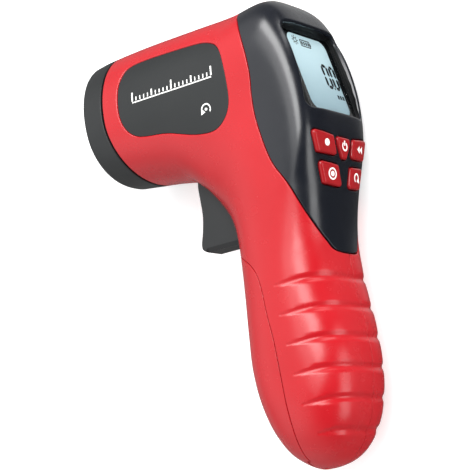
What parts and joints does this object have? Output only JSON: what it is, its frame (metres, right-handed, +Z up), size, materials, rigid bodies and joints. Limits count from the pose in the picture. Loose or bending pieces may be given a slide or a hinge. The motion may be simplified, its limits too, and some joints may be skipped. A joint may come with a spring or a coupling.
{
  "type": "laser tachometer",
  "caption": "Pistol-shaped hand-held laser tachometer with a sprung trigger, press keys, a sloping display and a hinged battery door in the grip, lying on its side.",
  "frame": {"origin": "centre of the bounding box, at the level of the surface that the right flank lies on", "axes": "+X from the nose to the display, +Y from the foot of the grip to the top of the barrel, +Z up, out of the left flank"},
  "size_m": [0.0911, 0.1538, 0.0431],
  "materials": {
    "red_shell": "satin",
    "red_key": "gloss",
    "black_housing": "satin",
    "dark_trim": "fine matte",
    "black_inner": "matte",
    "label": "matte",
    "lens_glass": "clear",
    "window": "clear",
    "lcd": "reflective",
    "white_plastic": "diffusing",
    "grey_rubber": "matte",
    "circuit_board": "solder mask",
    "brass": "turned",
    "steel": "bright",
    "battery_can": "printed can",
    "red_wire": "insulation",
    "black_wire": "insulation"
  },
  "bodies": {
    "case": {"shell_left": "red_shell", "shell_right": "red_shell", "display_housing": "black_housing", "nose_bezel": "dark_trim", "nose_plate": "black_inner", "receiver_lens": "lens_glass", "lens_ring": "black_inner", "laser_module": "brass", "laser_window": "lens_glass", "optics_tube": "black_inner", "photodiode": "black_inner", "sensor_board": "circuit_board", "display_window": "window", "lcd_panel": "lcd", "backlight": "white_plastic", "zebra_strip": "grey_rubber", "main_board": "circuit_board", "controller_chip": "black_inner", "crystal": "steel", "buzzer": "black_inner", "key_board": "circuit_board", "key_mat": "grey_rubber", "label_left": "label", "label_right": "label", "trigger_pin": "steel", "trigger_spring": "steel", "trigger_switch": "black_inner", "switch_board": "circuit_board", "hinge_pin": "steel", "battery": "battery_can", "battery_snap": "black_inner", "lead_positive": "red_wire", "lead_negative": "black_wire", "case_screws": "steel", "board_screws": "steel"},
    "trigger_arm": {"trigger": "dark_trim"},
    "door": {"battery_door": "red_shell"},
    "key_laser_cap": {"key_laser": "red_key"},
    "key_power_cap": {"key_power": "red_key"},
    "key_mode_cap": {"key_mode": "red_key"},
    "key_store_cap": {"key_store": "red_key"},
    "key_recall_cap": {"key_recall": "red_key"}
  },
  "joints": [
    {"name": "trigger_pull", "type": "hinge", "parent": "case", "child": "trigger_arm", "pos_m": [-0.00255, 0.0305, 0.02155], "axis": [0, 0, 1], "range_deg": [0, 7], "stiffness_Nm_per_rad": 0.6, "springref_deg": -4.58, "deforming": ["trigger_spring"]},
    {"name": "door_hinge", "type": "hinge", "parent": "case", "child": "door", "pos_m": [0.02085, -0.0754, 0.02155], "axis": [0, 0, 1], "range_deg": [0, 70]},
    {"name": "key_laser_press", "type": "slide", "parent": "case", "child": "key_laser_cap", "axis": [-0.9903, 0.1392, 0], "range_m": [0, 0.0007], "stiffness_N_per_m": 1500, "springref_m": -0.0003},
    {"name": "key_power_press", "type": "slide", "parent": "case", "child": "key_power_cap", "axis": [-0.9903, 0.1392, 0], "range_m": [0, 0.0007], "stiffness_N_per_m": 1500, "springref_m": -0.0003},
    {"name": "key_mode_press", "type": "slide", "parent": "case", "child": "key_mode_cap", "axis": [-0.9903, 0.1392, 0], "range_m": [0, 0.0007], "stiffness_N_per_m": 1500, "springref_m": -0.0003},
    {"name": "key_store_press", "type": "slide", "parent": "case", "child": "key_store_cap", "axis": [-0.9903, 0.1392, 0], "range_m": [0, 0.0007], "stiffness_N_per_m": 1500, "springref_m": -0.0003},
    {"name": "key_recall_press", "type": "slide", "parent": "case", "child": "key_recall_cap", "axis": [-0.9903, 0.1392, 0], "range_m": [0, 0.0007], "stiffness_N_per_m": 1500, "springref_m": -0.0003}
  ]
}
